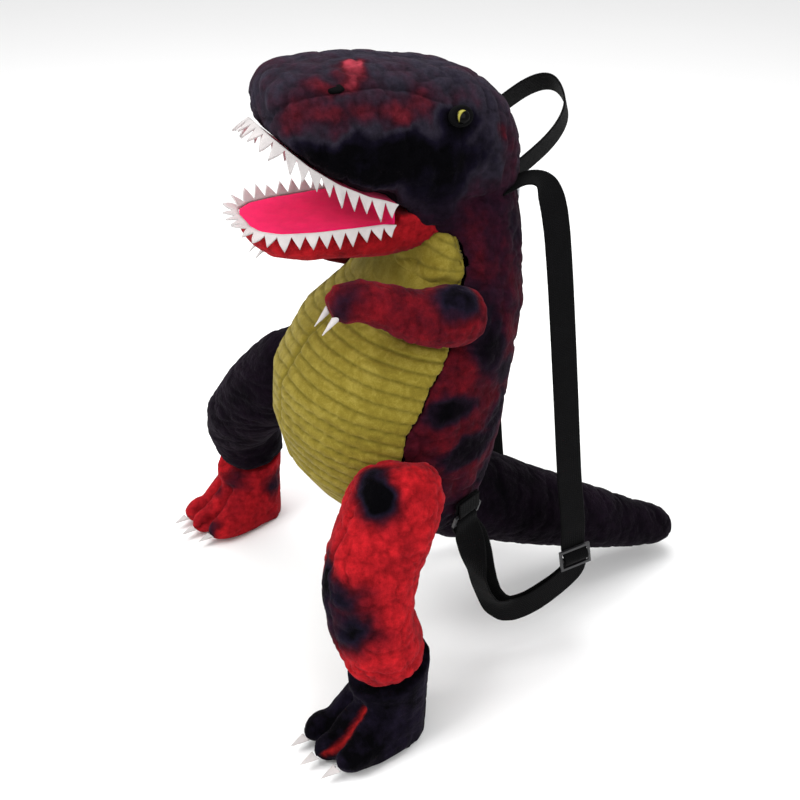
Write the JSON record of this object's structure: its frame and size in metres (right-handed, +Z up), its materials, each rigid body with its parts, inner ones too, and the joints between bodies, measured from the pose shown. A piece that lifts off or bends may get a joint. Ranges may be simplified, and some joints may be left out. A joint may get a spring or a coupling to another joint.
{
  "type": "plush dinosaur backpack",
  "caption": "Child's plush backpack shaped like a standing dinosaur: hollow torso bag with a centre-back zip, webbing shoulder straps, carry handle, open mouth, posed legs and a tail.",
  "frame": {"origin": "middle of the bounding box, on the floor under the feet", "axes": "+Z up; the animal faces -Y, its left side is +X and its tail runs to +Y"},
  "size_m": [0.4682, 0.484, 0.5503],
  "materials": {
    "plush_red": "short-pile velvet plush, tie-dyed red with dark blotches",
    "plush_dark": "short-pile velvet plush, near black",
    "plush_maroon": "short-pile velvet plush, dark maroon and navy",
    "plush_olive": "wide-ribbed plush",
    "felt_pink": "smooth felt",
    "felt_white": "stiff felt",
    "felt_black": "smooth patch with a slight sheen",
    "webbing": "woven ribbed polypropylene webbing",
    "plastic": "moulded plastic, satin",
    "metal": "dull grey metal"
  },
  "bodies": {
    "bag": {"body_shell": "plush_red", "belly_panel": "plush_olive", "zip_tape": "webbing", "zip_coil": "webbing", "zip_slider": "metal", "head": "plush_maroon", "lower_jaw": "plush_red", "mouth_lining": "felt_pink", "upper_teeth": "felt_white", "lower_teeth": "felt_white", "left_eye": "felt_black", "right_eye": "felt_black", "left_nostril": "felt_black", "right_nostril": "felt_black", "tail": "plush_dark", "carry_handle": "webbing", "left_arm": "plush_red", "left_arm_inner_claw": "felt_white", "left_arm_outer_claw": "felt_white", "left_leg": "plush_red", "left_foot": "plush_dark", "left_foot_claw_1": "felt_white", "left_foot_claw_2": "felt_white", "left_foot_claw_3": "felt_white", "left_strap": "webbing", "left_strap_slider": "plastic", "left_strap_ring": "plastic", "left_anchor_tab": "webbing", "right_arm": "plush_red", "right_arm_inner_claw": "felt_white", "right_arm_outer_claw": "felt_white", "right_leg": "plush_red", "right_foot": "plush_dark", "right_foot_claw_1": "felt_white", "right_foot_claw_2": "felt_white", "right_foot_claw_3": "felt_white", "right_strap": "webbing", "right_strap_slider": "plastic", "right_strap_ring": "plastic", "right_anchor_tab": "webbing"},
    "pull": {"zip_pull": "metal"}
  },
  "joints": [
    {"name": "zip_pull_swing", "type": "hinge", "parent": "bag", "child": "pull", "pos_m": [0.03919, 0.03864, 0.4207], "axis": [1, 0, 0], "range_deg": [0, 150]}
  ]
}
